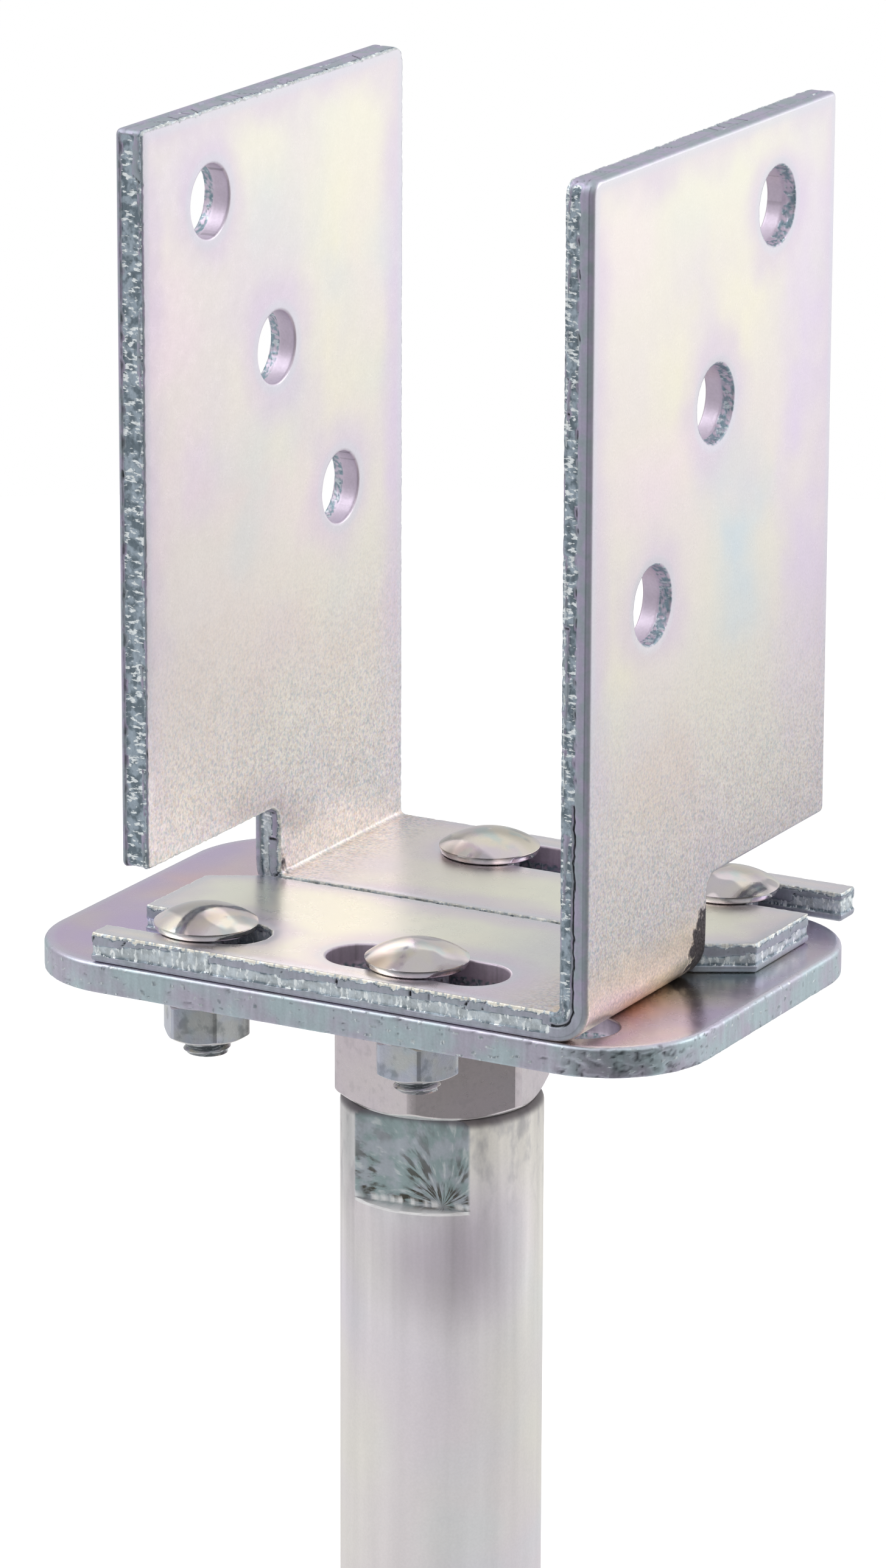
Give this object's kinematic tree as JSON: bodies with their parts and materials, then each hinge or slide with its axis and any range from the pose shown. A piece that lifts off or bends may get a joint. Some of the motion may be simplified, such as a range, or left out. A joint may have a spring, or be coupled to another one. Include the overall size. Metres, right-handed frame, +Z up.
{
  "type": "timber post base",
  "caption": "Adjustable post base: two slotted folded cheeks bolted to a plate with rounded corners, on a screwed spindle with a lock nut in a ground tube.",
  "frame": {"origin": "centre of the ground tube's lower end", "axes": "+Z up along the ground tube, +X from the left cheek to the right cheek, -Y the front"},
  "size_m": [0.12, 0.0844, 0.3645],
  "materials": {
    "cheek_steel": "zinc plated with a pale iridescent passivation, satin, grained rolled faces and torn shear edges",
    "plate_steel": "zinc plated, satin, with sheared edges",
    "bolt_steel": "zinc plated, polished domed heads",
    "washer_steel": "zinc plated, dull",
    "nut_steel": "zinc plated, with turned chamfers",
    "lock_nut_steel": "zinc plated, satin flats and bright turned chamfers",
    "spindle_steel": "zinc plated, threaded",
    "weld_steel": "zinc plated weld bead",
    "tube_steel": "zinc plated, matt, drawn lengthwise"
  },
  "bodies": {
    "tube": {"ground_tube": "tube_steel"},
    "lock_nut": {"lock_nut": "lock_nut_steel"},
    "weld_ring": {"spindle_weld": "weld_steel"},
    "head": {"base_plate": "plate_steel", "spindle": "spindle_steel", "front_left_bolt": "bolt_steel", "front_left_washer": "washer_steel", "front_left_nut": "nut_steel", "front_middle_bolt": "bolt_steel", "front_middle_washer": "washer_steel", "front_middle_nut": "nut_steel", "rear_middle_bolt": "bolt_steel", "rear_middle_washer": "washer_steel", "rear_middle_nut": "nut_steel", "rear_right_bolt": "bolt_steel", "rear_right_washer": "washer_steel", "rear_right_nut": "nut_steel"},
    "left_cheek": {"left_cheek": "cheek_steel"},
    "right_cheek": {"right_cheek": "cheek_steel"}
  },
  "joints": [
    {"name": "lock_nut_turn", "type": "hinge", "parent": "tube", "child": "lock_nut", "pos_m": [0, 0, 0.2], "axis": [0, 0, 1], "continuous": true},
    {"name": "head_rise", "type": "slide", "parent": "tube", "child": "weld_ring", "axis": [0, 0, 1], "range_m": [0, 0.0601]},
    {"name": "head_turn", "type": "hinge", "parent": "weld_ring", "child": "head", "pos_m": [0, 0, 0.2], "axis": [0, 0, 1], "range_deg": [0, 8640]},
    {"name": "left_cheek_slide", "type": "slide", "parent": "head", "child": "left_cheek", "axis": [-1, 0, 0], "range_m": [-0.0013, 0.013]},
    {"name": "right_cheek_slide", "type": "slide", "parent": "head", "child": "right_cheek", "axis": [1, 0, 0], "range_m": [-0.0052, 0.01]}
  ],
  "couplings": [
    {"joint": "head_rise", "follows": "head_turn", "m_per_rad": 0.00039789}
  ]
}
